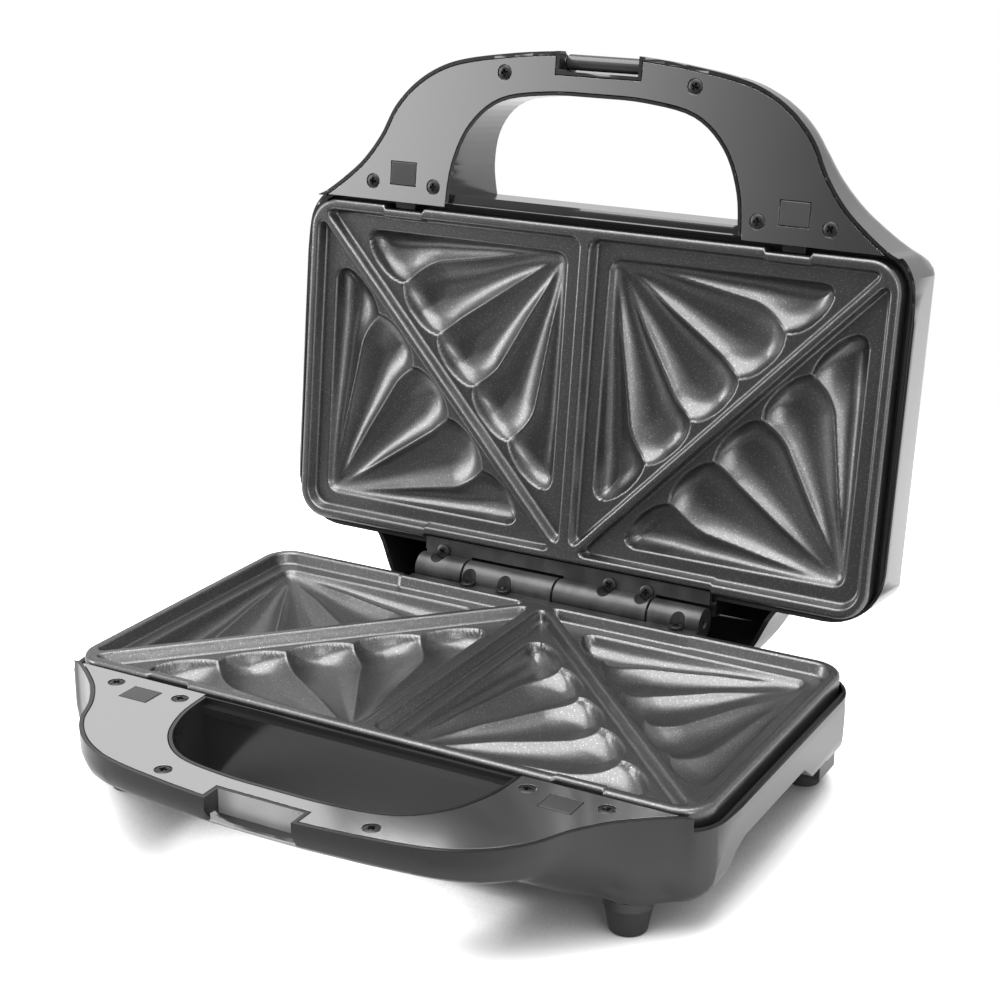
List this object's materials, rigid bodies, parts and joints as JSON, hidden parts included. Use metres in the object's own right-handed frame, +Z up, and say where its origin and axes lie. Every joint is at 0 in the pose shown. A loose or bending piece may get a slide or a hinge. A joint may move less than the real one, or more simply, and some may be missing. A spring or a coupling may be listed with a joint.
{
  "type": "sandwich toaster",
  "caption": "Countertop sandwich toaster standing open: hinged lid, moulded non-stick pocket plates, handles with finger openings, hooked latch, press-to-release buttons and feet.",
  "frame": {"origin": "bottom centre of the overall box, on the table", "axes": "+X to the right seen from the handle side, +Y back towards the hinge, +Z up; the lid is open at rest"},
  "size_m": [0.259, 0.269, 0.2528],
  "materials": {
    "shell": "polished dark grey moulding",
    "panel": "satin silver paint",
    "coating": "speckled dark non-stick coating, satin",
    "tray": "black, matt",
    "sheet": "rolled",
    "rod": "oxidised",
    "hinge": "satin dark grey casting",
    "screw": "black, satin",
    "pin": "drawn steel",
    "button": "satin",
    "latch": "polished",
    "foot": "matt",
    "gland": "matt"
  },
  "bodies": {
    "base": {"base_shell": "shell", "base_frame": "tray", "base_reflector": "sheet", "base_heater": "rod", "base_heater_clips": "sheet", "thermostat": "gland", "base_plate": "coating", "base_panel": "panel", "base_panel_screws": "screw", "base_hinge_leaf": "hinge", "base_hinge_screws": "screw", "hinge_pin": "pin", "front_feet": "foot", "rear_feet": "foot", "cord_gland": "gland"},
    "lid": {"lid_shell": "shell", "lid_frame": "tray", "lid_reflector": "sheet", "lid_heater": "rod", "lid_heater_clips": "sheet", "lid_plate": "coating", "lid_panel": "panel", "lid_panel_screws": "screw", "lid_hinge_leaf": "hinge", "lid_hinge_screws": "screw", "latch_pin": "pin"},
    "latch": {"latch": "latch"},
    "base_button_left": {"base_button_left": "button"},
    "base_catch_left": {"base_catch_left": "screw"},
    "base_button_right": {"base_button_right": "button"},
    "base_catch_right": {"base_catch_right": "screw"},
    "lid_button_left": {"lid_button_left": "button"},
    "lid_catch_left": {"lid_catch_left": "screw"},
    "lid_button_right": {"lid_button_right": "button"},
    "lid_catch_right": {"lid_catch_right": "screw"}
  },
  "joints": [
    {"name": "lid_hinge", "type": "hinge", "parent": "base", "child": "lid", "pos_m": [0, 0.07509, 0.0452], "axis": [1, 0, 0], "range_deg": [0, 96.8]},
    {"name": "latch_hinge", "type": "hinge", "parent": "lid", "child": "latch", "pos_m": [0, 0.10933, 0.24787], "axis": [1, 0, 0], "range_deg": [0, 192]},
    {"name": "base_button_left_press", "type": "slide", "parent": "base", "child": "base_button_left", "axis": [0, 0, -1], "range_m": [0, 0.0016], "stiffness_N_per_m": 350},
    {"name": "base_catch_left_slide", "type": "slide", "parent": "base", "child": "base_catch_left", "axis": [0, -1, 0], "range_m": [0, 0.0016]},
    {"name": "base_button_right_press", "type": "slide", "parent": "base", "child": "base_button_right", "axis": [0, 0, -1], "range_m": [0, 0.0016], "stiffness_N_per_m": 350},
    {"name": "base_catch_right_slide", "type": "slide", "parent": "base", "child": "base_catch_right", "axis": [0, -1, 0], "range_m": [0, 0.0016]},
    {"name": "lid_button_left_press", "type": "slide", "parent": "lid", "child": "lid_button_left", "axis": [0, 0.993, -0.1184], "range_m": [0, 0.0016], "stiffness_N_per_m": 350},
    {"name": "lid_catch_left_slide", "type": "slide", "parent": "lid", "child": "lid_catch_left", "axis": [0, 0.1184, 0.993], "range_m": [0, 0.0016]},
    {"name": "lid_button_right_press", "type": "slide", "parent": "lid", "child": "lid_button_right", "axis": [0, 0.993, -0.1184], "range_m": [0, 0.0016], "stiffness_N_per_m": 350},
    {"name": "lid_catch_right_slide", "type": "slide", "parent": "lid", "child": "lid_catch_right", "axis": [0, 0.1184, 0.993], "range_m": [0, 0.0016]}
  ],
  "couplings": [
    {"joint": "base_catch_left_slide", "follows": "base_button_left_press", "ratio": 1},
    {"joint": "base_catch_right_slide", "follows": "base_button_right_press", "ratio": 1},
    {"joint": "lid_catch_left_slide", "follows": "lid_button_left_press", "ratio": 1},
    {"joint": "lid_catch_right_slide", "follows": "lid_button_right_press", "ratio": 1}
  ]
}
